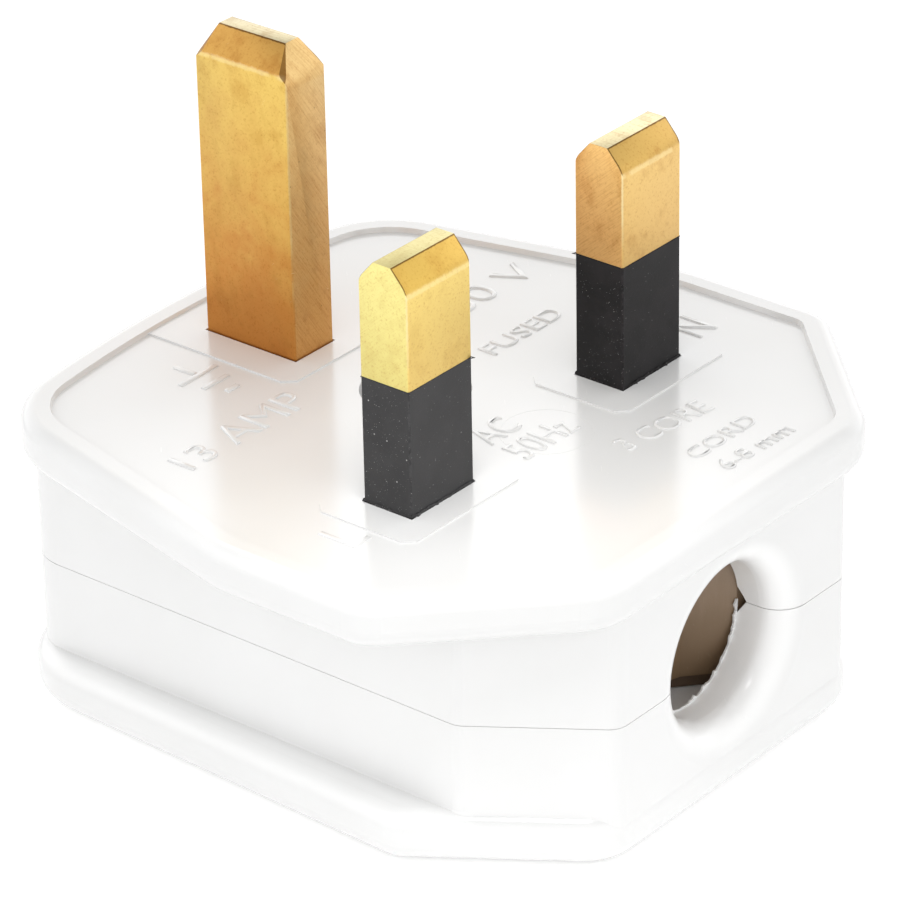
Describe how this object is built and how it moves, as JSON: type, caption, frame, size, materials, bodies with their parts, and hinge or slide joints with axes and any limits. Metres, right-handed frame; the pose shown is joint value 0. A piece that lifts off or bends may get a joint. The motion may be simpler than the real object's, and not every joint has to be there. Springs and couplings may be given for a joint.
{
  "type": "uk three pin plug",
  "caption": "White rewireable mains plug with flat brass pins, part-sleeved line pins, a wide pin face over a narrow waist, a round cable entry and a cartridge fuse inside.",
  "frame": {"origin": "middle of the plug's outline, on the back of the cover that it lies on", "axes": "+Z along the pins, out of the pin face; +X from the live pin to the neutral pin; +Y from the cable entry to the earth pin"},
  "size_m": [0.0504, 0.0492, 0.0437],
  "materials": {
    "shell": "glossy moulded white",
    "pin_brass": "brushed, faintly tarnished",
    "sleeve": "satin black with pale specks",
    "terminal_brass": "plain machined",
    "fuse_ceramic": "unglazed ceramic",
    "fuse_cap": "plated",
    "fuse_wire": "tinned",
    "clip_bronze": "bent spring strip",
    "fibre": "brown vulcanised fibre",
    "screw_steel": "zinc plated",
    "grip_nylon": "brown moulded nylon"
  },
  "bodies": {
    "root": {"base": "shell", "cover": "shell", "earth_pin": "pin_brass", "neutral_pin": "pin_brass", "live_pin": "pin_brass", "neutral_pin_sleeve": "sleeve", "live_pin_sleeve": "sleeve", "live_terminal": "terminal_brass", "terminal_screws": "terminal_brass", "fuse_tube": "fuse_ceramic", "fuse_cap_pin_end": "fuse_cap", "fuse_cap_terminal_end": "fuse_cap", "fuse_wire": "fuse_wire", "fuse_clip_pin_end": "clip_bronze", "fuse_clip_terminal_end": "clip_bronze", "clip_rivets": "terminal_brass", "cord_grip": "grip_nylon", "cover_screw": "screw_steel", "cover_screw_washer": "fibre", "cover_nut": "terminal_brass"}
  },
  "joints": []
}
